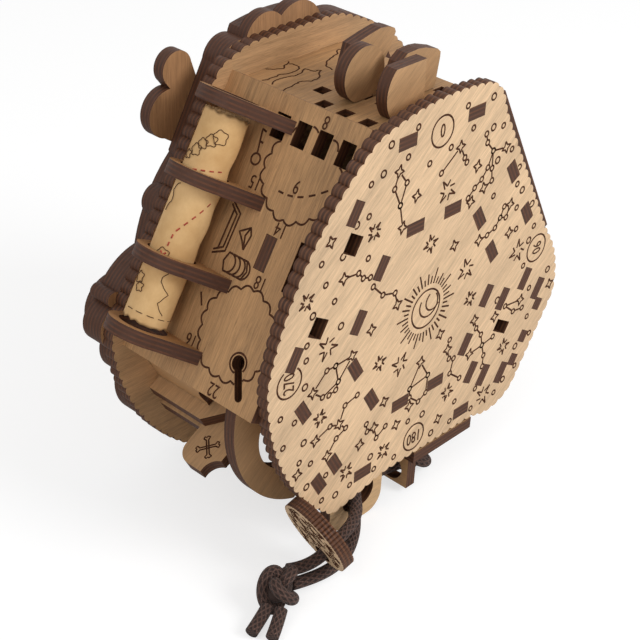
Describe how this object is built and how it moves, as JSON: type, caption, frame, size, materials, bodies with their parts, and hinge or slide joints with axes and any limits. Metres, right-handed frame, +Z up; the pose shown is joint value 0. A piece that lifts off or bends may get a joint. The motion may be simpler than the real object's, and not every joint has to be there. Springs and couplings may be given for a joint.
{
  "type": "wooden puzzle box",
  "caption": "Hexagonal wooden puzzle box with a round engraved plate, a lobed dial front, sliding grips, a map roll in hooks, and a coin on a knotted cord.",
  "frame": {"origin": "under the middle of the box, on the ground plane the object stands on; the cord, its knots and the coin are left out", "axes": "+Z up, the engraved back plate faces -Y, the dial front faces +Y, the map roll is on the -X side"},
  "size_m": [0.1535, 0.096, 0.147],
  "materials": {
    "pale_ply": "engraved, waxed pale plywood with burnt edges",
    "wall_ply": "brown stained plywood with burnt edges",
    "front_ply": "brown stained plywood with burnt edges",
    "hook_ply": "dark plywood with burnt edges",
    "moving_ply": "engraved plywood with burnt edges",
    "map_card": "rolled card, printed with a dashed line",
    "cord": "dark brown braided cord"
  },
  "bodies": {
    "case": {"back_plate": "pale_ply", "bottom_wall": "wall_ply", "coin": "pale_ply", "cord_block": "wall_ply", "cord_ear": "wall_ply", "cord_knot": "cord", "cord_shelf": "wall_ply", "cord_strand_a": "cord", "cord_strand_b": "cord", "cord_tail_a": "cord", "cord_tail_b": "cord", "core_wall_bottom": "wall_ply", "core_wall_lower_left": "wall_ply", "core_wall_lower_right": "wall_ply", "core_wall_top": "wall_ply", "core_wall_upper_left": "wall_ply", "core_wall_upper_right": "wall_ply", "foot": "wall_ply", "front_plate": "front_ply", "lid_lip_back": "wall_ply", "lid_lip_front": "wall_ply", "lid_rail_back": "wall_ply", "lid_rail_front": "wall_ply", "lobed_layer_inner": "front_ply", "lobed_layer_outer": "front_ply", "lower_left_guard": "wall_ply", "lower_left_stub": "wall_ply", "lower_left_wall": "wall_ply", "lower_right_wall": "wall_ply", "map_hook_1": "hook_ply", "map_hook_2": "hook_ply", "map_hook_3": "hook_ply", "map_hook_4": "hook_ply", "map_wall_rib": "wall_ply", "petal_layer": "front_ply", "pocket_wall": "wall_ply", "scroll_wall": "wall_ply", "shield_cover": "wall_ply", "shield_wall": "wall_ply", "stopper_knot": "cord", "tab_rail_lower": "wall_ply", "tab_rail_upper": "wall_ply", "top_wall": "wall_ply", "upper_right_wall": "wall_ply"},
    "front_dial": {"front_dial": "moving_ply", "dial_knob": "moving_ply", "dial_cap": "moving_ply", "dial_cam": "moving_ply", "dial_axle": "moving_ply"},
    "map": {"map_roll": "map_card"},
    "grip_a": {"grip_a_front": "moving_ply", "grip_a_rear": "moving_ply", "grip_a_slider": "moving_ply"},
    "grip_b": {"grip_b_front": "moving_ply", "grip_b_rear": "moving_ply", "grip_b_slider": "moving_ply"},
    "handle": {"pull_handle": "moving_ply"},
    "tab": {"pull_tab": "moving_ply", "tab_foot": "moving_ply"},
    "lid": {"pocket_lid": "moving_ply"}
  },
  "joints": [
    {"name": "dial_turn", "type": "hinge", "parent": "case", "child": "front_dial", "pos_m": [0.00381, 0, 0.0705], "axis": [0, 1, 0], "continuous": true},
    {"name": "map_slide", "type": "slide", "parent": "case", "child": "map", "axis": [0.5, 0, 0.866], "range_m": [0, 0.06]},
    {"name": "grip_a_slide", "type": "slide", "parent": "case", "child": "grip_a", "axis": [1, 0, 0], "range_m": [-0.003, 0.003]},
    {"name": "grip_b_slide", "type": "slide", "parent": "case", "child": "grip_b", "axis": [1, 0, 0], "range_m": [-0.003, 0.003]},
    {"name": "handle_pull", "type": "slide", "parent": "case", "child": "handle", "axis": [-0.866, 0, -0.5], "range_m": [0, 0.006]},
    {"name": "tab_slide", "type": "slide", "parent": "case", "child": "tab", "axis": [0, 1, 0], "range_m": [0, 0.01]},
    {"name": "lid_slide", "type": "slide", "parent": "case", "child": "lid", "axis": [0.5, 0, -0.866], "range_m": [0, 0.045]}
  ]
}
